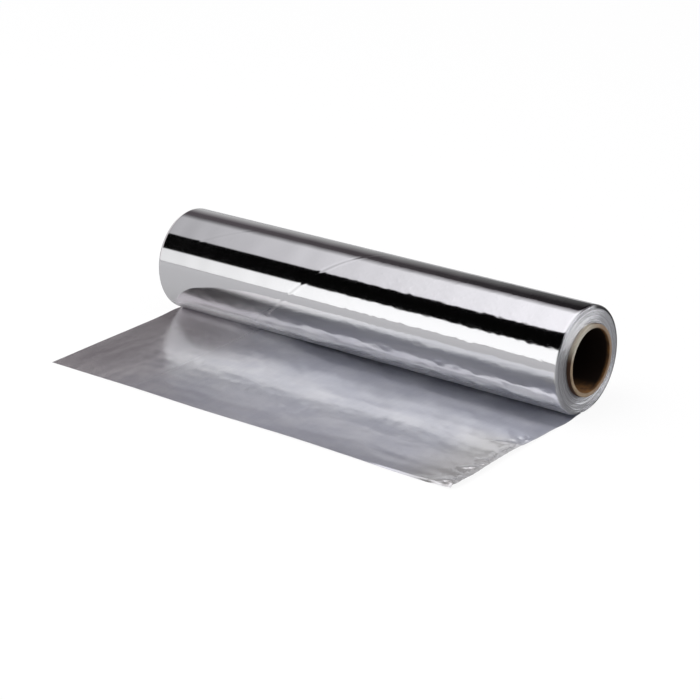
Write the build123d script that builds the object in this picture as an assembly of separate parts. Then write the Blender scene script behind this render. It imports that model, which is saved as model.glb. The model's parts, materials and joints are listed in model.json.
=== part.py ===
from build123d import *
import math
import os

# A catering roll of aluminium foil: one web wound on a paperboard core, its free end pulled out flat.
# Sizes are in millimetres. The roll lies along X, with its axis above the origin, which is on the surface
# that it rests on. The free end, the lead, leaves from under the roll towards -Y, and +Z is up.

# The foil: a web slit to width, wound up tight, with its outermost turn running out into the lead.
FOIL_WIDTH = 304.8
ROLL_DIAMETER = 64.4
LEAD_LENGTH = 130.0  # from under the roll's axis to the cut edge
FOIL_GAUGE = 0.3  # of the outermost turn and the lead, thick enough to be a sound solid
FLAT_SPOT_DEPTH = 0.1  # how far the roll's own weight flattens it where it rests
NIP_GAP = 0.3  # height at which the wedge of air between the lead and the roll above it begins

# The turns as they show at each end: one fine spiral line from the core to the outermost turn.
TURN_PITCH = 1.5
TURN_LINE_WIDTH = 0.35
TURN_LINE_DEPTH = 0.3
TURN_LINE_MARGIN = 1.0  # left plain beside the core, and beside the outermost turn

# The core: a paperboard tube that stands out of the wound foil at both ends.
CORE_BORE_DIAMETER = 38.1
CORE_WALL = 2.5
CORE_OVERHANG = 2.6
CORE_EDGE_BREAK = 0.4  # the worn corners of its cut ends
WINDING_CLEARANCE = 0.05  # between the core and the first turn

roll_radius = ROLL_DIAMETER / 2
axis_height = roll_radius - FLAT_SPOT_DEPTH
core_radius = CORE_BORE_DIAMETER / 2 + CORE_WALL
foil_bore_radius = core_radius + WINDING_CLEARANCE
core_length = FOIL_WIDTH + 2 * CORE_OVERHANG


def outer_turn():
    """The edges of the outermost turn and the lead in the YZ plane, from the flat spot round to the nip.

    Four quarter circles about the corners of a small square lose one gauge of radius in a turn, so the
    turn closes on the lead that it came from, and each quarter runs smoothly into the next.
    """
    step = FOIL_GAUGE / 4
    flat_half_width = math.sqrt(roll_radius**2 - axis_height**2)
    last_radius = roll_radius - 3 * step
    last_centre_height = axis_height + step
    nip_height = FOIL_GAUGE + NIP_GAP
    nip_reach = math.sqrt(last_radius**2 - (last_centre_height - nip_height) ** 2)
    flat_angle = math.degrees(math.asin(axis_height / roll_radius))
    nip_angle = math.degrees(math.asin((last_centre_height - nip_height) / last_radius))
    return [
        CenterArc((0, axis_height), roll_radius, -flat_angle, flat_angle),
        CenterArc((step, axis_height), roll_radius - step, 0, 90),
        CenterArc((step, last_centre_height), roll_radius - 2 * step, 90, 90),
        CenterArc((0, last_centre_height), last_radius, 180, nip_angle),
        Polyline(
            (-nip_reach, nip_height),
            (-nip_reach, FOIL_GAUGE),
            (-LEAD_LENGTH, FOIL_GAUGE),
            (-LEAD_LENGTH, 0),
            (flat_half_width, 0),
        ),
    ]


def turn_line():
    """The edges of a spiral ribbon around the roll's axis, made of half circles about two centres.

    Each half circle is half a pitch wider than the last and takes the other centre, so they meet smoothly.
    The spiral widens clockwise as seen from +X, the way that the web unwinds into the lead.
    """
    half_pitch = TURN_PITCH / 2
    first_radius = foil_bore_radius + TURN_LINE_MARGIN
    last_radius = roll_radius - FOIL_GAUGE - TURN_LINE_MARGIN
    half_turns = int((last_radius - first_radius) / half_pitch)
    edges = []
    for side in (-TURN_LINE_WIDTH / 2, TURN_LINE_WIDTH / 2):
        for turn in range(half_turns):
            upper = turn % 2
            centre = half_pitch / 2 if upper else -half_pitch / 2
            radius = first_radius + turn * half_pitch + side
            edges.append(CenterArc((centre, axis_height), radius, 180 * upper, -180))
    inner, outer = edges[:half_turns], edges[half_turns:]
    return edges + [Line(inner[0] @ 0, outer[0] @ 0), Line(inner[-1] @ 1, outer[-1] @ 1)]


def make_foil():
    """The wound web and its lead as one solid, bored for the core, with the turns showing at both ends."""
    with BuildPart() as foil:
        with BuildSketch(Plane.YZ):
            with BuildLine():
                add(outer_turn())
            make_face()
            with Locations((0, axis_height)):
                Circle(foil_bore_radius, mode=Mode.SUBTRACT)
        extrude(amount=FOIL_WIDTH / 2, both=True)
        for end in (1, -1):
            with BuildSketch(Plane.YZ.offset(end * FOIL_WIDTH / 2)):
                with BuildLine():
                    add(turn_line())
                make_face()
            extrude(amount=-end * TURN_LINE_DEPTH, mode=Mode.SUBTRACT)
    return foil.part


def make_core():
    """The core tube, square cut and a little worn at the corners of both ends."""
    with BuildPart() as core:
        with BuildSketch(Plane.YZ):
            with Locations((0, axis_height)):
                Circle(core_radius)
                Circle(CORE_BORE_DIAMETER / 2, mode=Mode.SUBTRACT)
        extrude(amount=core_length / 2, both=True)
        chamfer(core.edges().filter_by(GeomType.CIRCLE), CORE_EDGE_BREAK)
    return core.part


nodes = {"foil": make_foil(), "core_tube": make_core()}

os.makedirs("parts", exist_ok=True)
for name, shape in nodes.items():
    export_step(shape, f"parts/{name}.step")
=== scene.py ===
"""Dresses a catering roll of aluminium foil: wound turns, a lead drawn out flat, a paperboard core."""
import json
import logging
import math
from contextlib import contextmanager
from dataclasses import dataclass, field
from enum import Enum
from typing import Any, Callable, Iterator

import bmesh
import bpy
import numpy as np
from mathutils import Matrix, Vector


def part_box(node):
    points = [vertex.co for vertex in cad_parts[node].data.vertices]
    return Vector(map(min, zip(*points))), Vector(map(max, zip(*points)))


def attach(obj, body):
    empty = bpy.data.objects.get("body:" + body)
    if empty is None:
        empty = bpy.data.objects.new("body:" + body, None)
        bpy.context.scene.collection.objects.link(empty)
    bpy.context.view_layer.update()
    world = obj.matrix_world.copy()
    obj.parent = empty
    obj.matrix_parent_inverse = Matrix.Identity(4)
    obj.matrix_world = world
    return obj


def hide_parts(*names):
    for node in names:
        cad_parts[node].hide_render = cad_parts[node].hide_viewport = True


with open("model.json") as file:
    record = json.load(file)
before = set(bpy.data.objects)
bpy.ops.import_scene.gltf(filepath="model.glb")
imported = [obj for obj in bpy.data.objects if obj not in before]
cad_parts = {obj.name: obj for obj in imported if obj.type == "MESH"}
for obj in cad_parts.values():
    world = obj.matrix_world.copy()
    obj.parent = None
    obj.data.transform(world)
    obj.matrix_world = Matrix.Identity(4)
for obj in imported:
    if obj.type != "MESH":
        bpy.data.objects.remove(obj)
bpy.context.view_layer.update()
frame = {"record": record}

Colour = tuple[float, float, float]
Stop = tuple[float, Colour]
MM = 0.001
BODY = "root"
WHITE: Colour = (1.0, 1.0, 1.0)
log = logging.getLogger("foil_roll")


class FoilSide(Enum):
    """Which face of the web a surface shows, by its material slot on the piece."""

    BRIGHT = 0
    SATIN = 1


class Element(Enum):
    """What a selection in edit mode picks."""

    EDGE = "EDGE"
    FACE = "FACE"


class Wire:
    """A shader socket whose arithmetic adds Math nodes to its graph."""

    def __init__(self, graph: "Graph", socket: bpy.types.NodeSocket) -> None:
        """Wraps one output socket of a graph."""
        self.graph = graph
        self.socket = socket

    def math(self, operation: str, *others: "Wire | float") -> "Wire":
        """Adds one Math node of an operation, with its second and third inputs where it has them."""
        sockets = dict(enumerate((self, *others)))
        return self.graph.add("ShaderNodeMath", {"operation": operation}, sockets)

    def __add__(self, other: "Wire | float") -> "Wire":
        """Adds."""
        return self.math("ADD", other)

    __radd__ = __add__

    def __mul__(self, other: "Wire | float") -> "Wire":
        """Multiplies."""
        return self.math("MULTIPLY", other)

    __rmul__ = __mul__

    def __sub__(self, other: "Wire | float") -> "Wire":
        """Subtracts."""
        return self.math("SUBTRACT", other)

    def __rsub__(self, other: float) -> "Wire":
        """Subtracts the wire from a number."""
        return self * -1.0 + other

    def __truediv__(self, other: "Wire | float") -> "Wire":
        """Divides."""
        return self.math("DIVIDE", other)

    def __pow__(self, other: "Wire | float") -> "Wire":
        """Raises to a power."""
        return self.math("POWER", other)

    def band(self, low: float, high: float, start: float = 0.0, end: float = 1.0) -> "Wire":
        """Maps low..high smoothly to start..end and holds the ends.

        Args:
            low: the value that gives start.
            high: the value that gives end.
            start: the result at low and below it.
            end: the result at high and above it.

        Returns:
            The mapped value.
        """
        settings = {"interpolation_type": "SMOOTHSTEP"}
        sockets = {"Value": self, "From Min": low, "From Max": high, "To Min": start, "To Max": end}
        return self.graph.add("ShaderNodeMapRange", settings, sockets)


class Graph:
    """One node tree, filled through a single method."""

    def __init__(self, tree: bpy.types.NodeTree) -> None:
        """Empties a tree and takes it over."""
        self.tree = tree
        tree.nodes.clear()

    def add(
        self,
        kind: str,
        settings: dict[str, Any] | None = None,
        sockets: dict[str | int, Any] | None = None,
        output: str | int = 0,
    ) -> Wire | None:
        """Adds a node.

        Args:
            kind: the node's type.
            settings: the node's own properties, set first; "stops" fills a colour ramp.
            sockets: values or wires for its inputs, by name or number.
            output: which output to return.

        Returns:
            That output as a wire, or None from a node that has no outputs.
        """
        node = self.tree.nodes.new(kind)
        for name, value in (settings or {}).items():
            if name == "stops":
                self._fill_ramp(node.color_ramp, value)
            else:
                setattr(node, name, value)
        for key, value in (sockets or {}).items():
            if isinstance(value, Wire):
                self.tree.links.new(value.socket, node.inputs[key])
            else:
                node.inputs[key].default_value = value
        return Wire(self, node.outputs[output]) if len(node.outputs) else None

    @staticmethod
    def _fill_ramp(colours: bpy.types.ColorRamp, stops: list[Stop]) -> None:
        """Sets a ramp's stops.

        Args:
            colours: the ramp.
            stops: places and colours, in rising order.
        """
        while len(colours.elements) > 1:
            colours.elements.remove(colours.elements[-1])
        for number, (place, colour) in enumerate(stops):
            stop = colours.elements[0] if number == 0 else colours.elements.new(place)
            stop.position = place
            stop.color = (*colour, 1.0)

    def place(self) -> Wire:
        """The piece's own coordinates, in metres."""
        return self.add("ShaderNodeTexCoord", output="Object")

    def stretched(self, place: Wire, scale: tuple[float, float, float]) -> Wire:
        """Coordinates multiplied axis by axis, to stretch a pattern."""
        settings = {"vector_type": "POINT"}
        return self.add("ShaderNodeMapping", settings, {"Vector": place, "Scale": scale})

    def noise(self, place: Wire, scale: float, detail: float = 2.0, roughness: float = 0.5) -> Wire:
        """Smooth random values around a half."""
        sockets = {"Vector": place, "Scale": scale, "Detail": detail, "Roughness": roughness}
        return self.add("ShaderNodeTexNoise", {"noise_dimensions": "3D"}, sockets)

    def noise_along(self, value: Wire, scale: float) -> Wire:
        """Smooth random values around a half that change with one value only."""
        sockets = {"W": value, "Scale": scale, "Detail": 1.0}
        return self.add("ShaderNodeTexNoise", {"noise_dimensions": "1D"}, sockets)

    def xyz(self, place: Wire) -> tuple[Wire, ...]:
        """The three parts of a vector."""
        node = self.add("ShaderNodeSeparateXYZ", None, {"Vector": place}).socket.node
        return tuple(Wire(self, output) for output in node.outputs)

    def about_axis(self, place: Wire, axis_height: float) -> tuple[Wire, Wire, Wire, Wire]:
        """Finds where a point is from the roll's axis.

        Args:
            place: the piece's own coordinates.
            axis_height: how high the axis is.

        Returns:
            The place along the axis and across it, the height above it and the distance from it.
        """
        along, across, height = self.xyz(place)
        up = height - axis_height
        return along, across, up, (across * across + up * up) ** 0.5

    def blend(self, factor: Wire | float, low: Wire | Colour, high: Wire | Colour) -> Wire:
        """A colour between two by a factor."""
        ends = {n: c if isinstance(c, Wire) else (*c, 1.0) for n, c in ((6, low), (7, high))}
        return self.add("ShaderNodeMix", {"data_type": "RGBA"}, {0: factor, **ends}, 2)

    def bump(self, height: Wire, depth: float, below: Wire | None = None) -> Wire:
        """Bumps a normal.

        Args:
            height: the relief, from 0 to 1.
            depth: how deep the whole relief is, in metres.
            below: a normal that is already bumped, to add to.

        Returns:
            The bumped normal.
        """
        sockets = {"Height": height, "Distance": depth, "Strength": 1.0}
        if below:
            sockets["Normal"] = below
        return self.add("ShaderNodeBump", None, sockets)

    def glow(self, colour: Wire | Colour, strength: Wire | float = 1.0) -> Wire:
        """The light of a part of the world."""
        shade = colour if isinstance(colour, Wire) else (*colour, 1.0)
        return self.add("ShaderNodeBackground", None, {"Color": shade, "Strength": strength})

    def mix(self, share: Wire, first: Wire, second: Wire) -> Wire:
        """A shader between two by the second one's share."""
        return self.add("ShaderNodeMixShader", None, {0: share, 1: first, 2: second})

    def surface(self, shader: Wire) -> None:
        """Connects the finished shader to the output."""
        self.add("ShaderNodeOutputMaterial", None, {"Surface": shader})


def new_material(name: str) -> tuple[bpy.types.Material, Graph]:
    """Makes an empty node material.

    Args:
        name: the material's name.

    Returns:
        The material and its graph.
    """
    material = bpy.data.materials.new(name)
    material.use_nodes = True
    return material, Graph(material.node_tree)


@dataclass(frozen=True)
class WoundFoil:
    """The wound roll: a mirror-bright outside that turns into satin slit edges at both ends."""

    axis_height: float
    radius: float
    half_width: float
    shoulder: float
    bright: Colour = (0.80, 0.80, 0.813)
    edge: Colour = (0.475, 0.48, 0.497)
    edge_shade: Colour = (0.385, 0.39, 0.408)
    # Painted shade: the colour of the dark line on the right end's outer rim.
    painted_shade_line: Colour = (0.012, 0.012, 0.014)
    pit_depth: float = 0.012 * MM
    grain_depth: float = 0.005 * MM
    line_depth: float = 0.0035 * MM
    ring_depth: float = 0.22 * MM
    haze: float = 0.05
    line_haze: float = 0.05
    scuff_haze: float = 0.26
    slit_haze: float = 0.20
    ring_haze: float = 0.12
    # Roughness of the painted shade line.
    shade_line_haze: float = 0.6

    def material(self) -> bpy.types.Material:
        """Builds the finish.

        Returns:
            The material.
        """
        material, g = new_material("foil_wound")
        place = g.place()
        along, across, up, radius = g.about_axis(place, self.axis_height)
        end = along.math("ABSOLUTE").band(self.half_width - self.shoulder, self.half_width - 0.15 * MM)
        outside = 1.0 - end
        # Rolling lines run round the web; pits and grain grow towards its looser right end.
        lines = g.noise(g.stretched(place, (900.0, 14.0, 14.0)), scale=1.0, detail=3.0, roughness=0.6)
        pits = g.noise(place, scale=260.0, detail=1.0).band(0.54, 0.80)
        pits = pits * along.band(-80 * MM, 100 * MM, 0.2, 1.0)
        grain = g.noise(place, scale=640.0, detail=1.0) * along.band(-100 * MM, 80 * MM, 0.15, 1.0)
        rings = g.noise_along(radius, scale=4200.0)
        bands = g.noise_along(radius, scale=420.0)
        normal = g.bump(pits * outside, self.pit_depth)
        normal = g.bump(grain * outside, self.grain_depth, normal)
        normal = g.bump(lines * outside, self.line_depth, normal)
        normal = g.bump(rings * end, self.ring_depth, normal)
        # Painted shade: a dark, non-metallic line painted on the outer rim of the right end, on its back
        # side.
        rim = radius.band(self.radius - 2.3 * MM, self.radius - 1.9 * MM)
        painted_shade_line = rim * end.band(0.60, 0.80) * across.band(3 * MM, 10 * MM) * along.band(0.0, 10 * MM)
        scuff = (up + self.axis_height).band(3 * MM, 24 * MM, self.scuff_haze, 0.0)
        slit = g.blend(bands.band(0.3, 0.7), self.edge_shade, self.edge)
        outside_haze = lines * self.line_haze + self.haze + scuff
        end_haze = rings * self.ring_haze + self.slit_haze
        sockets = {
            "Base Color": g.blend(painted_shade_line, g.blend(end, self.bright, slit), self.painted_shade_line),
            "Metallic": 1.0 - painted_shade_line,
            "Roughness": outside_haze * outside + end_haze * end + painted_shade_line * self.shade_line_haze,
            "Normal": normal,
        }
        g.surface(g.add("ShaderNodeBsdfPrincipled", None, sockets))
        return material


@dataclass(frozen=True)
class SatinFoil:
    """The inner side of the foil, satin from being rolled two sheets together: a sheen under a haze."""

    colour: Colour = (0.985, 0.975, 0.975)
    shade: Colour = (0.84, 0.84, 0.86)
    # Painted shade: a darker, pinkish base colour towards the left end of the lead.
    left: Colour = (0.82, 0.797, 0.817)
    veil: Colour = (0.875, 0.90, 0.975)
    veil_shade: Colour = (0.76, 0.785, 0.885)
    plain: Colour = (0.86, 0.86, 0.842)
    gloss_left: float = 0.17
    gloss_right: float = 0.10
    haze: float = 0.48
    haze_left: float = 0.08
    haze_right: float = 0.58
    cloud_share: float = 0.8
    streak_depth: float = 0.04 * MM

    def material(self) -> bpy.types.Material:
        """Builds the finish.

        Returns:
            The material.
        """
        material, g = new_material("foil_satin")
        place = g.place()
        along, across, _ = g.xyz(place)
        streaks = g.noise(g.stretched(place, (1.0, 0.03, 1.0)), scale=2600.0, detail=2.0, roughness=0.55)
        clouds = g.noise(g.stretched(place, (0.6, 1.0, 1.0)), scale=52.0, detail=4.0, roughness=0.6)
        brushed = g.noise(g.stretched(place, (1.0, 0.07, 1.0)), scale=460.0, detail=2.0, roughness=0.6)
        grain = clouds.band(0.36, 0.64) * self.cloud_share
        grain = grain + brushed.band(0.36, 0.64) * (1.0 - self.cloud_share)
        right = along.band(-160 * MM, 20 * MM)
        # Painted shade: the cool mask fades in the darker left colour over the left end of the lead, in both
        # lobes.
        cool = along.band(-150 * MM, -70 * MM)
        sheen = {
            "Base Color": g.blend(cool, self.left, g.blend(grain, self.shade, self.colour)),
            "Metallic": 1.0,
            "Roughness": right * (self.gloss_right - self.gloss_left) + self.gloss_left,
            "Normal": g.bump(streaks, self.streak_depth),
        }
        near_corner = along.band(105 * MM, 140 * MM) * across.band(-72 * MM, -54 * MM, 1.0, 0.0)
        tint = g.blend(near_corner, g.blend(grain, self.veil_shade, self.veil), self.plain)
        veil = sheen | {"Base Color": g.blend(cool, self.left, tint), "Roughness": self.haze}
        share = along.band(-150 * MM, 10 * MM) * (self.haze_right - self.haze_left) + self.haze_left
        narrow, wide = (g.add("ShaderNodeBsdfPrincipled", None, layer) for layer in (sheen, veil))
        g.surface(g.mix(share, narrow, wide))
        return material


@dataclass(frozen=True)
class CoreBoard:
    """Brown paperboard: mottled fibres, painted shade deep in the bore, and a pale cut rim, with painted
    light and painted shade on the rim and the outer wall.
    """

    half_length: float
    bore_radius: float
    axis_height: float
    wall: Colour = (0.29, 0.145, 0.05)
    # Painted light and painted shade: lit and shaded copies of the outer wall's colour.
    wall_painted_light: Colour = (0.52, 0.47, 0.38)
    wall_painted_shade: Colour = (0.07, 0.036, 0.022)
    wall_shade: Colour = (0.13, 0.07, 0.034)
    # Painted shade: the colour deep in the bore.
    deep: Colour = (0.010, 0.005, 0.003)
    rim: Colour = (0.345, 0.266, 0.18)
    rim_shade: Colour = (0.225, 0.165, 0.104)
    # Painted highlight and painted shade on the cut rim: a lit copy for its upper front, a shaded copy for
    # its back.
    rim_painted_highlight: Colour = (0.42, 0.395, 0.335)
    rim_painted_shade: Colour = (0.25, 0.176, 0.115)
    haze: float = 0.55
    fibre_haze: float = 0.2
    fibre_depth: float = 0.06 * MM
    shine: float = 0.15

    def material(self) -> bpy.types.Material:
        """Builds the finish.

        Returns:
            The material.
        """
        material, g = new_material("core_board")
        place = g.place()
        along, across, up, radius = g.about_axis(place, self.axis_height)
        bore = self.bore_radius
        depth = self.half_length - along.math("ABSOLUTE")
        fibres = g.noise(g.stretched(place, (700.0, 1500.0, 1500.0)), scale=1.0, detail=4.0, roughness=0.65)
        mottle = g.noise(place, scale=260.0, detail=3.0, roughness=0.6).band(0.3, 0.7)
        # The outside shows only beside the foil. Painted shade darkens the bore with depth, with the
        # darkening held off furthest along its bottom.
        inside = radius.band(bore + 0.1 * MM, bore + 0.4 * MM, 1.0, 0.0)
        # Painted light on the upper front of the outer wall, and painted shade on the rest of it.
        painted_light_mask = up.band(4 * MM, 15 * MM) * across.band(-4 * MM, 8 * MM, 1.0, 0.0)
        outer = g.blend(painted_light_mask, self.wall_painted_shade, self.wall_painted_light)
        wall = g.blend(inside, outer, g.blend(mottle, self.wall_shade, self.wall))
        bottom = up.band(-bore, -0.55 * bore, 1.0, 0.0) * across.band(0.0, 10 * MM, 1.0, 0.0)
        painted_bore_shade = depth.band(0.3 * MM, 2.8 * MM) * (1.0 - bottom) + depth.band(6 * MM, 26 * MM) * bottom
        wall = g.blend(inside * painted_bore_shade, wall, self.deep)
        # Painted shade darkens the back of the cut rim, and a painted highlight lightens its upper front;
        # the mottle is the board's own tone.
        front = across.band(-0.5 * bore, 0.7 * bore, 1.0, 0.0)
        cut = g.blend(front, self.rim_painted_shade, g.blend(mottle, self.rim_shade, self.rim))
        cut = g.blend(up.band(2 * MM, 12 * MM) * front, cut, self.rim_painted_highlight)
        sockets = {
            "Base Color": g.blend(depth.band(0.12 * MM, 0.4 * MM), cut, wall),
            "Roughness": fibres * self.fibre_haze + self.haze,
            "Specular IOR Level": self.shine,
            "Normal": g.bump(fibres, self.fibre_depth),
        }
        g.surface(g.add("ShaderNodeBsdfPrincipled", None, sockets))
        return material


class Bench:
    """The operators that shape a piece, each acting on one object with nothing else selected."""

    @staticmethod
    def clear() -> None:
        """Leaves nothing selected and no object active."""
        bpy.ops.object.select_all(action="DESELECT")
        bpy.context.view_layer.objects.active = None

    @staticmethod
    def pick(piece: bpy.types.Object) -> None:
        """Selects one piece alone and makes it active.

        Args:
            piece: the piece.
        """
        Bench.clear()
        piece.select_set(True)
        bpy.context.view_layer.objects.active = piece

    @staticmethod
    def take(name: str) -> bpy.types.Object:
        """Names the object that was just added and bakes its place into its mesh.

        Args:
            name: the piece's name.

        Returns:
            The piece.
        """
        piece = bpy.context.active_object
        piece.name = name
        piece.data.name = name
        bpy.ops.object.transform_apply(location=True, rotation=True, scale=True)
        return piece

    @staticmethod
    def cylinder(name: str, sides: int, radius: float, length: float, height: float) -> bpy.types.Object:
        """Adds a cylinder along X.

        Args:
            name: the piece's name.
            sides: how many flat sides it has.
            radius: its radius.
            length: its length.
            height: how high its axis is.

        Returns:
            The piece.
        """
        Bench.clear()
        bpy.ops.mesh.primitive_cylinder_add(
            vertices=sides,
            radius=radius,
            depth=length,
            location=(0.0, 0.0, height),
            rotation=(0.0, math.pi / 2.0, 0.0),
        )
        return Bench.take(name)

    @staticmethod
    @contextmanager
    def editing(piece: bpy.types.Object) -> Iterator[None]:
        """Opens a piece in edit mode with nothing selected, and closes it again.

        Args:
            piece: the piece.

        Returns:
            A context in which the piece is edited.
        """
        Bench.pick(piece)
        bpy.ops.object.mode_set(mode="EDIT")
        bpy.ops.mesh.select_all(action="DESELECT")
        yield
        bpy.ops.object.mode_set(mode="OBJECT")

    @staticmethod
    def select(piece: bpy.types.Object, kind: Element, test: Callable[[Any], bool]) -> None:
        """Selects the edges or faces of the edited piece that pass a test.

        Args:
            piece: the piece in edit mode.
            kind: edges or faces.
            test: says whether one of them is wanted.
        """
        bpy.ops.mesh.select_mode(type=kind.value)
        bpy.ops.mesh.select_all(action="DESELECT")
        mesh = bmesh.from_edit_mesh(piece.data)
        for element in mesh.faces if kind is Element.FACE else mesh.edges:
            if test(element):
                element.select_set(True)
        bmesh.update_edit_mesh(piece.data)

    @staticmethod
    def bore(piece: bpy.types.Object, sides: int, rings: int, wall: float) -> None:
        """Insets both ends ring by ring, opens them and joins the openings into a bore.

        Args:
            piece: a cylinder.
            sides: how many sides its two end faces have.
            rings: how many rings each end gets.
            wall: how far the rings reach in from the edge of the end.
        """

        def is_end(face: bmesh.types.BMFace) -> bool:
            """Whether a face is one of the two many-sided ends."""
            return len(face.verts) == sides

        with Bench.editing(piece):
            for _ in range(rings):
                Bench.select(piece, Element.FACE, is_end)
                bpy.ops.mesh.inset(thickness=wall / rings, use_even_offset=True)
            Bench.select(piece, Element.FACE, is_end)
            bpy.ops.mesh.bridge_edge_loops()

    @staticmethod
    def bevel(piece: bpy.types.Object, test: Callable[[Any], bool], offset: float, steps: int) -> None:
        """Rounds the edges that pass a test.

        Args:
            piece: the piece.
            test: says whether an edge is wanted.
            offset: how far the rounding reaches from the edge.
            steps: how many faces it has.
        """
        with Bench.editing(piece):
            Bench.select(piece, Element.EDGE, test)
            bpy.ops.mesh.bevel(offset=offset, segments=steps, profile=0.5, affect="EDGES")

    @staticmethod
    def modify(piece: bpy.types.Object, kind: str, **settings: Any) -> None:
        """Adds a modifier and applies it.

        Args:
            piece: the piece.
            kind: the modifier's type.
            settings: the modifier's own properties.
        """
        Bench.pick(piece)
        modifier = piece.modifiers.new(kind.lower(), kind)
        for name, value in settings.items():
            setattr(modifier, name, value)
        bpy.ops.object.modifier_apply(modifier=modifier.name)

    @staticmethod
    def smooth(piece: bpy.types.Object, angle: float) -> None:
        """Shades a piece smooth, apart from edges sharper than an angle in degrees."""
        Bench.pick(piece)
        bpy.ops.object.shade_smooth_by_angle(angle=math.radians(angle))

    @staticmethod
    def reshape(piece: bpy.types.Object, move: Callable[[np.ndarray], np.ndarray]) -> None:
        """Moves every point of a piece.

        Args:
            piece: the piece.
            move: takes all the points, in metres, and returns where they go.
        """
        points = np.empty(len(piece.data.vertices) * 3)
        piece.data.vertices.foreach_get("co", points)
        moved = move(points.reshape(-1, 3))
        piece.data.vertices.foreach_set("co", moved.ravel())
        piece.data.update()


def ramp(value: np.ndarray, low: float, high: float) -> np.ndarray:
    """A smooth step from 0 at low to 1 at high."""
    t = np.clip((value - low) / (high - low), 0.0, 1.0)
    return t * t * (3.0 - 2.0 * t)


@dataclass(frozen=True)
class Ripple:
    """Seeded waviness over a surface: a sum of plane waves, in metres and radians."""

    seed: int
    shortest: float
    longest: float
    height: float
    waves: int
    spread: float = math.pi

    def heights(self, u: np.ndarray, v: np.ndarray) -> np.ndarray:
        """The height at each point.

        Args:
            u: places along the first direction, which the crests cross.
            v: places along the second direction.

        Returns:
            The heights, as an array like u.
        """
        rng = np.random.default_rng(self.seed)
        total = np.zeros_like(u)
        for _ in range(self.waves):
            length = self.shortest * (self.longest / self.shortest) ** rng.random()
            heading = (rng.random() - 0.5) * self.spread
            phase = rng.random() * 2.0 * math.pi
            place = u * math.cos(heading) + v * math.sin(heading)
            total += np.sin(place * 2.0 * math.pi / length + phase)
        return self.height * (total / math.sqrt(self.waves))


@dataclass(frozen=True)
class Crease:
    """A slanting crease in the roll: one side stands up and the other is pressed in."""

    start: float  # its place along the roll at start_turn
    start_turn: float  # a place round the roll, in degrees from the top towards the lead
    lean: float  # how far it moves along the roll in one degree
    depth: float
    half_width: float = 1.3 * MM
    run_in: float = 25.0  # degrees over which it begins

    def lift(self, x: np.ndarray, turn: np.ndarray) -> np.ndarray:
        """The lift at each point.

        Args:
            x: places along the roll.
            turn: places round it, in degrees from the top towards the lead.

        Returns:
            The lift, as an array like x.
        """
        off = (x - (self.start + (turn - self.start_turn) * self.lean)) / self.half_width
        begun = ramp(turn, self.start_turn - self.run_in, self.start_turn)
        return self.depth * off * np.exp(-off * off) * begun


@dataclass(frozen=True)
class Pucker:
    """A small sharp wrinkle in the lead: a ridge that dies away at both ends, in millimetres and degrees."""

    x: float
    y: float
    heading: float
    length: float
    width: float
    height: float

    def heights(self, x: np.ndarray, y: np.ndarray) -> np.ndarray:
        """Its height at each point.

        Args:
            x: places along the roll, in metres.
            y: places across it, in metres.

        Returns:
            The heights in metres, as an array like x.
        """
        turn = math.radians(self.heading)
        dx = x / MM - self.x
        dy = y / MM - self.y
        along = dx * math.cos(turn) + dy * math.sin(turn)
        across = dy * math.cos(turn) - dx * math.sin(turn)
        return self.height * MM * np.exp(-((along / self.length) ** 2) - np.abs(across / self.width))


@dataclass
class RollSizes:
    """The part's sizes in metres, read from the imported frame."""

    width: float = field(init=False)
    roll_radius: float = field(init=False)
    axis_height: float = field(init=False)
    lead_reach: float = field(init=False)
    bore_radius: float = field(init=False)
    core_radius: float = field(init=False)
    core_half: float = field(init=False)

    def __post_init__(self) -> None:
        """Reads the boxes of the two nodes and the bore that the record states."""
        foil_low, foil_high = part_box("foil")
        core_low, core_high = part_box("core_tube")
        bore = next(m for m in frame["record"]["mounts"] if m["kind"] == "bore")
        self.width = foil_high.x - foil_low.x
        self.roll_radius = foil_high.y
        self.axis_height = bore["pos_m"][2]
        self.lead_reach = -foil_low.y
        self.bore_radius = bore["dims"]["r_mm"] * MM
        self.core_radius = (core_high.z - core_low.z) / 2.0
        self.core_half = core_high.x

    def off_axis(self, edge: bmesh.types.BMEdge) -> tuple[float, float]:
        """How far the two ends of an edge are from the roll's axis."""
        axis = Vector((0.0, 0.0, self.axis_height))
        return tuple((vertex.co - axis).yz.length for vertex in edge.verts)


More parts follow.
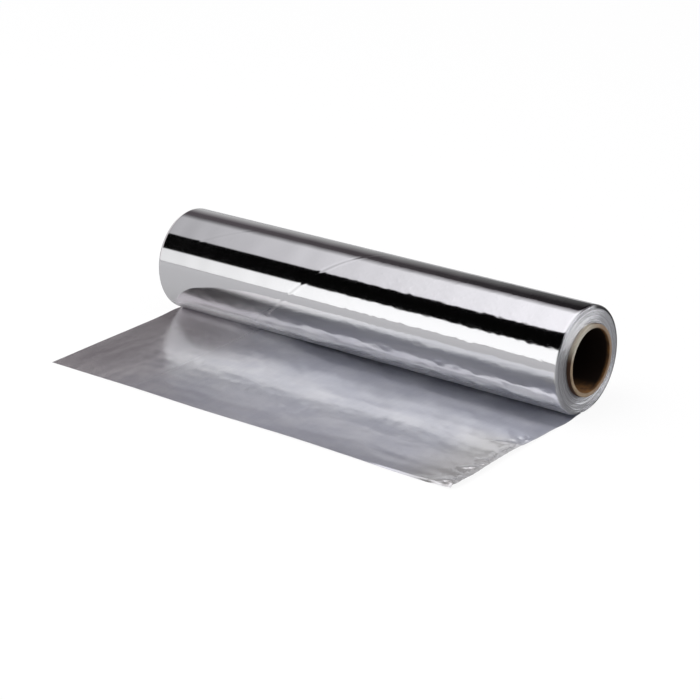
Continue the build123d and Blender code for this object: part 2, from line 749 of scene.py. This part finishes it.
@dataclass
class WoundTurns:
    """The wound part of the web: a bright outside, and two satin ends where the slit edges stack up."""

    sizes: RollSizes
    facets: int = 216
    shoulder: float = 1.8 * MM
    shoulder_steps: int = 7
    rings: int = 13
    gauge: float = 0.2 * MM
    core_gap: float = 0.05 * MM
    flat_height: float = 0.12 * MM  # of the flat spot that the roll rests on
    cuts: tuple[int, int] = (20, 15)  # across the outside, and then across each piece of it
    slack: Ripple = Ripple(3, 55 * MM, 140 * MM, 0.020 * MM, 10, 0.5)
    hoops: Ripple = Ripple(8, 16 * MM, 48 * MM, 0.012 * MM, 12, 0.6)
    dents: Ripple = Ripple(21, 2.7 * MM, 6 * MM, 0.012 * MM, 30, 1.5)
    billows: Ripple = Ripple(33, 6 * MM, 26 * MM, 0.10 * MM, 20, 1.3)
    steps: Ripple = Ripple(5, 1.6 * MM, 6 * MM, 0.04 * MM, 9, 0.1)
    sag: float = 0.9 * MM
    long_crease: Crease = Crease(-4.8 * MM, 11.0, -0.58 * MM, 0.10 * MM)
    faint_crease: Crease = Crease(-92.5 * MM, 13.4, -0.94 * MM, 0.05 * MM)

    @property
    def radius(self) -> float:
        """The outside radius, inside the turn that runs out into the lead."""
        return self.sizes.roll_radius - self.gauge

    def build(self) -> bpy.types.Object:
        """Models and dresses the piece.

        Returns:
            The piece.
        """
        s = self.sizes
        piece = Bench.cylinder("foil_wound", self.facets, self.radius, s.width, s.axis_height)
        Bench.bevel(piece, self._on_rim, self.shoulder, self.shoulder_steps)
        wall = self.radius - self.shoulder - s.core_radius - self.core_gap
        Bench.bore(piece, self.facets, self.rings, wall)
        with Bench.editing(piece):
            for cuts in self.cuts:
                Bench.select(piece, Element.EDGE, self._runs_along)
                bpy.ops.mesh.subdivide(number_cuts=cuts)
        Bench.reshape(piece, self._relief)
        Bench.smooth(piece, angle=40.0)
        self._dress(piece)
        return piece

    def _on_outside(self, edge: bmesh.types.BMEdge) -> bool:
        """Whether an edge lies on the outside."""
        return min(self.sizes.off_axis(edge)) > self.radius - 0.02 * MM

    def _on_rim(self, edge: bmesh.types.BMEdge) -> bool:
        """Whether an edge runs round the outer corner of an end.

        Args:
            edge: the edge.

        Returns:
            True where both its ends are at the same end of the roll and on the outside.
        """
        a, b = edge.verts
        half = self.sizes.width / 2.0 - 0.01 * MM
        return a.co.x * b.co.x > half * half and self._on_outside(edge)

    def _runs_along(self, edge: bmesh.types.BMEdge) -> bool:
        """Whether an edge lies along the outside, longer than the steps of the shoulders."""
        a, b = edge.verts
        return self._on_outside(edge) and abs(a.co.x - b.co.x) > 2.0 * MM

    def _relief(self, points: np.ndarray) -> np.ndarray:
        """Shapes the outside, the steps of the slit edges at the ends, and the flat spot.

        Args:
            points: all the points of the plain roll.

        Returns:
            Where they go.
        """
        s = self.sizes
        x, y, z = points[:, 0], points[:, 1], points[:, 2] - s.axis_height
        radius = np.hypot(y, z)
        turn = np.degrees(np.arctan2(-y, z))
        skin = ramp(radius, self.radius - 1.2 * MM, self.radius - 0.1 * MM)
        end = ramp(np.abs(x), s.width / 2.0 - 0.6 * MM, s.width / 2.0 - 0.2 * MM)
        scale = (radius + skin * self._lift(x, turn)) / radius
        moved = points.copy()
        moved[:, 0] = x + np.sign(x) * end * (1.0 - skin) * self.steps.heights(radius, x * 0.0)
        moved[:, 1] = y * scale
        moved[:, 2] = np.maximum(z * scale + s.axis_height, self.flat_height)
        return moved

    def _lift(self, x: np.ndarray, turn: np.ndarray) -> np.ndarray:
        """How far the outside stands out: slack and dents, loose foil low in front, and two creases.

        Args:
            x: places along the roll.
            turn: places round it, in degrees from the top towards the lead.

        Returns:
            The lift, as an array like x.
        """
        around = np.radians(turn) * self.sizes.roll_radius
        slack = self.slack.heights(around, x)
        hoops = self.hoops.heights(x, around)
        dents = self.dents.heights(around, x) * ramp(x, -70 * MM, 40 * MM)
        dents *= 0.35 + 0.65 * ramp(turn, 25.0, 55.0)
        billows = self.billows.heights(around, x)
        billows *= ramp(turn, 84.0, 124.0) * (0.45 + 0.65 * ramp(x, -110 * MM, 20 * MM))
        sag = self.sag * ramp(turn, 86.0, 152.0) * (1.0 - ramp(turn, 156.0, 170.0))
        crease = self.long_crease.lift(x, turn) * (1.0 - ramp(turn, 130.0, 150.0))
        crease *= 1.0 + 0.4 * ramp(turn, 60.0, 90.0)
        crease += self.faint_crease.lift(x, turn) * (1.0 - ramp(turn, 44.0, 60.0))
        return slack + hoops + dents + billows + crease + sag

    def _dress(self, piece: bpy.types.Object) -> None:
        """Gives the outside the bright finish and the ends the slit-edge finish.

        Args:
            piece: the modelled piece.
        """
        finish = WoundFoil(self.sizes.axis_height, self.radius, self.sizes.width / 2.0, self.shoulder)
        piece.data.materials.append(finish.material())
        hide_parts("foil")
        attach(piece, BODY)


@dataclass
class Lead:
    """The free end of the web, laid out flat with its satin side up."""

    sizes: RollSizes
    bright: bpy.types.Material
    gauge: float = 0.12 * MM
    tuck: float = -4.0 * MM
    rest: float = 0.04 * MM
    columns: int = 280
    rows: int = 160
    waves: Ripple = Ripple(11, 60 * MM, 140 * MM, 0.13 * MM, 12)
    pulls: Ripple = Ripple(17, 9 * MM, 26 * MM, 0.014 * MM, 14, 0.7)
    creeps: Ripple = Ripple(29, 8 * MM, 24 * MM, 0.022 * MM, 18, 0.8)
    frets: Ripple = Ripple(53, 3.2 * MM, 10 * MM, 0.22 * MM, 9)
    hump: float = 1.4 * MM
    edge_lift: float = 0.7 * MM
    fold_slope: float = 0.09
    fold_round: float = 1.2 * MM
    hem: float = 7.0 * MM
    hem_round: float = 0.6 * MM
    flap_crest: float = 0.45 * MM
    flap_swell: float = 0.40 * MM
    puckers: tuple[Pucker, ...] = (
        Pucker(146.0, -124.5, 12.0, 6.0, 1.6, 0.5),
        Pucker(150.0, -127.0, 100.0, 2.5, 1.0, 0.6),
        Pucker(145.5, -104.5, 25.0, 5.0, 2.0, 1.0),
        Pucker(149.0, -98.5, 40.0, 2.5, 0.9, 0.7),
        Pucker(147.0, -94.0, -10.0, 4.5, 1.4, 0.8),
        Pucker(150.0, -89.5, 95.0, 2.2, 0.9, 0.8),
        Pucker(150.0, -77.0, 95.0, 2.2, 0.9, 0.8),
        Pucker(143.5, -68.0, 12.0, 8.0, 1.4, 0.6),
        Pucker(150.0, -65.0, 95.0, 2.0, 0.8, 0.7),
        Pucker(150.3, -56.5, 95.0, 2.5, 0.8, 0.6),
    )

    @property
    def length(self) -> float:
        """The sheet's flat length, from where it comes out of the roll."""
        return self.sizes.lead_reach + self.tuck

    @property
    def edge(self) -> float:
        """Half the web's width."""
        return self.sizes.width / 2.0

    def build(self) -> bpy.types.Object:
        """Models and dresses the piece.

        Returns:
            The piece.
        """
        Bench.clear()
        bpy.ops.mesh.primitive_grid_add(
            x_subdivisions=self.columns,
            y_subdivisions=self.rows,
            size=1.0,
            location=(0.0, self.tuck - self.length / 2.0, 0.0),
        )
        bpy.context.active_object.scale = (self.sizes.width, self.length, 1.0)
        piece = Bench.take("foil_lead")
        Bench.reshape(piece, self._lay)
        Bench.modify(piece, "SOLIDIFY", thickness=self.gauge, offset=1.0, use_even_offset=True)
        Bench.smooth(piece, angle=50.0)
        self._dress(piece)
        return piece

    def _lay(self, points: np.ndarray) -> np.ndarray:
        """Gives the flat sheet its form, and trims its outline where it is pulled out of square.

        Args:
            points: all the points of the flat sheet.

        Returns:
            Where they go.
        """
        edge, reach = self.edge, self.sizes.lead_reach
        # The grid's lines are packed closer towards the right edge and the cut edge.
        share = points[:, 0] / edge
        x = edge * (share + 0.25 * (1.0 - share * share))
        run = (self.tuck - points[:, 1]) / self.length
        y = self.tuck - self.length * (run + 0.35 * run * (1.0 - run))
        free = ramp(-y, 14 * MM, 50 * MM)
        height = free * self._loose(x, y) + self._bow(x, y)
        height -= np.minimum(height.min(), 0.0) * free
        height = self._crumple(x, y, height)
        corner = np.hypot(x - edge, y + reach) / MM
        nip = 1.2 * MM * ramp(y, -20 * MM, -6 * MM)
        slant = 1.8 * ramp(x, 0.0, edge) - 1.4 * ramp(-x, 0.2 * edge, edge)
        moved = points.copy()
        moved[:, 0] = x * (1.0 - nip / edge) - 1.4 * MM * np.exp(-((corner / 4.0) ** 2))
        moved[:, 0] += 1.5 * MM * ramp(x, edge - 30 * MM, edge) * ramp(-y, 75 * MM, 115 * MM)
        moved[:, 1] = y - slant * MM * ramp(-y, 60 * MM, reach)
        moved[:, 2] = np.maximum(height, 0.0) + self.rest
        return moved

    def _loose(self, x: np.ndarray, y: np.ndarray) -> np.ndarray:
        """The sheet's height away from the roll: waves, the lifted right edge, a fold and a hem.

        Args:
            x: places along the roll.
            y: places across it.

        Returns:
            The heights, as an array like x.
        """
        edge = self.edge
        waves = self.waves.heights(x, y)
        pulls = self.pulls.heights(x, y)
        creeps = self.creeps.heights(y, x) * ramp(x, -1.2 * edge, -0.2 * edge)
        lift = self.edge_lift * np.exp(-(((y + 64 * MM) / (40 * MM)) ** 4))
        lift *= ramp(x, edge - 52 * MM, edge + 24 * MM)
        beyond = (x - 112 * MM) * 0.676 + (y + 34 * MM) * 0.737
        fold = -self.fold_slope * np.logaddexp(0.0, beyond / self.fold_round) * self.fold_round
        turned_up = 0.05 + 0.15 * ramp(-y, 66 * MM, 118 * MM)
        hem = turned_up * np.logaddexp(0.0, (x - edge + self.hem) / self.hem_round) * self.hem_round
        hem *= ramp(-y, 60 * MM, 72 * MM)
        return waves + pulls + creeps + lift + fold + hem

    def _bow(self, x: np.ndarray, y: np.ndarray) -> np.ndarray:
        """The sheet's height beside the roll: a long bow at the right and a hump under the left.

        Args:
            x: places along the roll.
            y: places across it.

        Returns:
            The heights, as an array like x.
        """
        s, edge = self.sizes, self.edge
        settle = 1.0 - 0.8 * np.clip((-y - 32 * MM) / (s.lead_reach - 32 * MM), 0.0, 1.0) ** 0.8
        swell = (1.6 + 0.6 * ramp(x, 0.0, 0.6 * edge)) * ramp(x, -0.95 * edge, -0.25 * edge)
        foot = (8.0 + 8.0 * ramp(x, 10 * MM, 90 * MM)) * MM
        bow = swell * MM * ramp((-y - foot) / (40 * MM - foot), 0.0, 1.0) * settle
        hump = self.hump * np.exp(-(((y + 14 * MM) / (15 * MM)) ** 2))
        hump *= 1.0 - ramp(x, -90 * MM, -5 * MM)
        under = s.axis_height - np.sqrt(np.maximum(s.roll_radius**2 - y * y, 0.0))
        return bow + np.clip(under - 0.3 * MM, 0.0, hump)

    def _crumple(self, x: np.ndarray, y: np.ndarray, height: np.ndarray) -> np.ndarray:
        """Adds the puckers and frets of the right edge and the flap of the near corner.

        Args:
            x: places along the roll.
            y: places across it.
            height: the height of the sheet so far.

        Returns:
            The heights, as an array like x.
        """
        edge, reach = self.edge, self.sizes.lead_reach
        for pucker in self.puckers:
            height = height + pucker.heights(x, y)
        fretted = ramp(x, edge - 12 * MM, edge - 4 * MM) * ramp(-y, 44 * MM, 60 * MM)
        height -= fretted * np.abs(self.frets.heights(x, y))
        past_flap = (x - 135 * MM) * 0.498 - (y + reach + 1 * MM) * 0.867
        rise = np.clip(1.0 + past_flap / (7 * MM), 0.0, 1.0)
        drop = np.exp(-np.maximum(past_flap, 0.0) / (4 * MM))
        height += self.flap_crest * np.where(past_flap < 0.0, rise, drop)
        height += self.flap_swell * np.exp(-np.abs(past_flap) / (14 * MM))
        pressed = ramp(x, 84 * MM, 118 * MM) * (1.0 - 0.6 * ramp(x, 136 * MM, 142 * MM))
        return height * (1.0 - pressed * ramp(-y, reach - 1.2 * MM, reach))

    def _dress(self, piece: bpy.types.Object) -> None:
        """Gives the top the satin finish and the underside the bright one.

        Args:
            piece: the modelled piece.
        """
        for material in (self.bright, SatinFoil().material()):
            piece.data.materials.append(material)
        for face in piece.data.polygons:
            side = FoilSide.SATIN if face.normal.z > 0.3 else FoilSide.BRIGHT
            face.material_index = side.value
        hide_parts("foil")
        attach(piece, BODY)


@dataclass
class CoreTube:
    """The paperboard tube, with plies on its cut rims and worn corners."""

    sizes: RollSizes
    facets: int = 128
    plies: int = 5
    corner: float = 0.55 * MM
    corner_steps: int = 3

    def build(self) -> bpy.types.Object:
        """Models and dresses the piece.

        Returns:
            The piece.
        """
        s = self.sizes
        piece = Bench.cylinder("core_board", self.facets, s.core_radius, 2.0 * s.core_half, s.axis_height)
        Bench.bore(piece, self.facets, self.plies, s.core_radius - s.bore_radius)
        Bench.bevel(piece, self._on_corner, self.corner, self.corner_steps)
        Bench.smooth(piece, angle=40.0)
        self._dress(piece)
        return piece

    def _on_corner(self, edge: bmesh.types.BMEdge) -> bool:
        """Whether an edge runs round the bore or the outside, at an end.

        Args:
            edge: the edge.

        Returns:
            True where both its ends are there.
        """
        s = self.sizes
        a, b = edge.verts
        radii = s.off_axis(edge)
        at_end = a.co.x * b.co.x > (s.core_half - 0.01 * MM) ** 2
        outer = min(radii) > s.core_radius - 0.02 * MM
        inner = max(radii) < s.bore_radius + 0.02 * MM
        return at_end and (outer or inner)

    def _dress(self, piece: bpy.types.Object) -> None:
        """Gives the tube its paperboard finish.

        Args:
            piece: the modelled piece.
        """
        finish = CoreBoard(self.sizes.core_half, self.sizes.bore_radius, self.sizes.axis_height)
        piece.data.materials.append(finish.material())
        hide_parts("core_tube")
        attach(piece, BODY)


def round_share(angle: float) -> float:
    """The place of an angle from straight up, in degrees, on a ramp that runs once round from below."""
    return (angle + 180.0) / 360.0


@dataclass(frozen=True)
class Glow:
    """The light from one angle round the roll, in degrees from straight up, positive towards the lead."""

    angle: float
    level: float
    tint: Colour = WHITE

    def stop(self) -> Stop:
        """Its stop on the ramp that runs round the roll."""
        return round_share(self.angle), tuple(self.level * part for part in self.tint)


@dataclass
class Studio:
    """A pale floor, bands of light round the roll, a wall at its left, a low panel, and the camera."""

    azimuth: float = 39.118
    elevation: float = 21.515
    bank: float = -1.106
    position: tuple[float, float, float] = (0.82468, -1.04119, 0.52654)
    focal_pixels: float = 2329.77
    image_pixels: float = 700.0
    cool: Colour = (0.99, 0.975, 1.012)
    dusk: Colour = (1.06, 0.93, 1.02)
    haze: Colour = (1.02, 0.975, 1.005)
    wall: Colour = (1.02, 0.96, 0.975)
    wall_shade: Colour = (0.42, 0.415, 0.425)
    panel_level: float = 9.5
    floor_size: float = 9.0
    floor_paper: Colour = (0.385, 0.385, 0.39)
    floor_seen: Colour = (0.85, 0.85, 0.85)
    fill_size: float = 1.6
    fill_power: float = 26.0
    fill_place: tuple[float, float, float] = (-0.5, -0.6, 1.65)

    def build(self) -> None:
        """Sets up the floor, the lights and the camera."""
        scene = bpy.context.scene
        scene.view_settings.view_transform = "Standard"
        # The roll and its lead mirror each other many times over where they meet.
        scene.cycles.glossy_bounces = 16
        scene.cycles.max_bounces = 24
        self._world()
        self._floor()
        self._fill()
        self._camera()

    def _glows(self) -> tuple[Glow, ...]:
        """The light round the roll: dim behind, soft overhead, black, and a white screen low in front."""
        return (
            Glow(-180.0, 0.455),
            Glow(-92.0, 0.455),
            Glow(-82.0, 0.386),
            Glow(-68.0, 0.227, self.haze),
            Glow(-56.0, 0.074, self.dusk),
            Glow(-43.0, 0.074, self.dusk),
            Glow(-34.0, 0.40, self.cool),
            Glow(-28.0, 0.68, self.cool),
            Glow(23.6, 0.68, self.cool),
            Glow(25.2, 0.001),
            Glow(60.4, 0.001),
            Glow(62.2, 1.19),
            Glow(92.0, 1.23),
            Glow(180.0, 1.0),
        )

    def _world(self) -> None:
        """Lights the roll from bands that run along it, a wall at its left and a low panel at its right."""
        world = bpy.data.worlds.new("studio")
        world.use_nodes = True
        bpy.context.scene.world = world
        g = Graph(world.node_tree)
        along, across, up = g.xyz(g.add("ShaderNodeTexCoord", output="Generated"))
        leftward = along * -1.0
        turn = (across * -1.0).math("ARCTAN2", up) / (2.0 * math.pi) + 0.5
        stops = [glow.stop() for glow in self._glows()]
        bands = g.add("ShaderNodeValToRGB", {"stops": stops}, {"Fac": turn})
        # Each band has its own fall from right to left.
        back = turn.math("LESS_THAN", round_share(-42.0))
        overhead = turn.math("GREATER_THAN", round_share(-42.0)) * turn.math("LESS_THAN", round_share(26.0))
        side = along.band(-0.2, 0.5, 1.0, 0.22)
        overhead_gain = along.band(-0.76, -0.455, 0.32, 1.80)
        back_gain = leftward.band(0.48, 0.67, 0.12, 1.3) * side + along.band(0.05, 0.35, 0.0, 3.0)
        front_gain = side * leftward.band(0.58, 0.68, 1.0, 0.72)
        gain = (overhead_gain - front_gain) * overhead + (back_gain - front_gain) * back + front_gain
        wall = g.glow(g.blend(leftward.band(0.79, 0.92), self.wall, self.wall_shade))
        studio = g.mix(leftward.band(0.68, 0.77), g.glow(bands, gain), wall)
        beside = (along * 0.80 + across * 0.60).band(0.82, 0.94) * up.band(0.10, 0.22, 1.0, 0.0)
        studio = g.mix(beside, studio, g.glow(WHITE, self.panel_level))
        seen = g.add("ShaderNodeLightPath", output="Is Camera Ray")
        g.add("ShaderNodeOutputWorld", None, {"Surface": g.mix(seen, studio, g.glow(WHITE))})

    def _floor(self) -> None:
        """Lays a pale floor that the camera sees near white and that keeps the shadow."""
        Bench.clear()
        bpy.ops.mesh.primitive_plane_add(size=self.floor_size)
        floor = Bench.take("floor")
        material, g = new_material("floor_paper")
        rays = ("Is Camera Ray", "Is Glossy Ray", "Is Transmission Ray")
        camera, glossy, through = (g.add("ShaderNodeLightPath", output=ray) for ray in rays)
        paper = g.add(
            "ShaderNodeBsdfDiffuse", None, {"Color": g.blend(camera, self.floor_paper, self.floor_seen)}
        )
        white = g.add("ShaderNodeEmission", None, {"Color": (*WHITE, 1.0), "Strength": 1.0})
        g.surface(g.mix(camera * 0.92 + glossy * 0.10 + through * 0.10, paper, white))
        floor.data.materials.append(material)

    def _fill(self) -> None:
        """Hangs a large soft lamp above, kept out of the foil's reflections."""
        lamp = bpy.data.lights.new("fill", "AREA")
        lamp.shape = "DISK"
        lamp.size = self.fill_size
        lamp.energy = self.fill_power
        holder = bpy.data.objects.new("fill", lamp)
        holder.location = self.fill_place
        holder.rotation_euler = Vector(self.fill_place).to_track_quat("Z", "Y").to_euler()
        holder.visible_glossy = False
        holder.visible_camera = False
        bpy.context.scene.collection.objects.link(holder)

    def _camera(self) -> None:
        """Places the camera at the photograph's viewpoint."""
        turn, rise, bank = (math.radians(a) for a in (self.azimuth, self.elevation, self.bank))
        level = math.cos(rise)
        back = Vector((math.sin(turn) * level, -math.cos(turn) * level, math.sin(rise)))
        right = Vector((0.0, 0.0, 1.0)).cross(back).normalized()
        up = back.cross(right)
        banked_right = right * math.cos(bank) + up * math.sin(bank)
        banked_up = up * math.cos(bank) - right * math.sin(bank)
        lens = bpy.data.cameras.new("view")
        lens.sensor_width = 36.0
        lens.lens = self.focal_pixels * lens.sensor_width / self.image_pixels
        lens.clip_end = 50.0
        camera = bpy.data.objects.new("view", lens)
        facing = Matrix((banked_right, banked_up, back)).transposed().to_4x4()
        camera.matrix_world = Matrix.Translation(self.position) @ facing
        bpy.context.scene.collection.objects.link(camera)
        bpy.context.scene.camera = camera


def main() -> None:
    """Builds the pieces and the studio in order, and reports each piece."""
    logging.basicConfig(level=logging.INFO, format="%(message)s")
    sizes = RollSizes()
    wound = WoundTurns(sizes).build()
    lead = Lead(sizes, wound.data.materials[0]).build()
    core = CoreTube(sizes).build()
    for piece in (wound, lead, core):
        log.info("%s: %d faces", piece.name, len(piece.data.polygons))
    Studio().build()


if __name__ == "__main__":
    main()
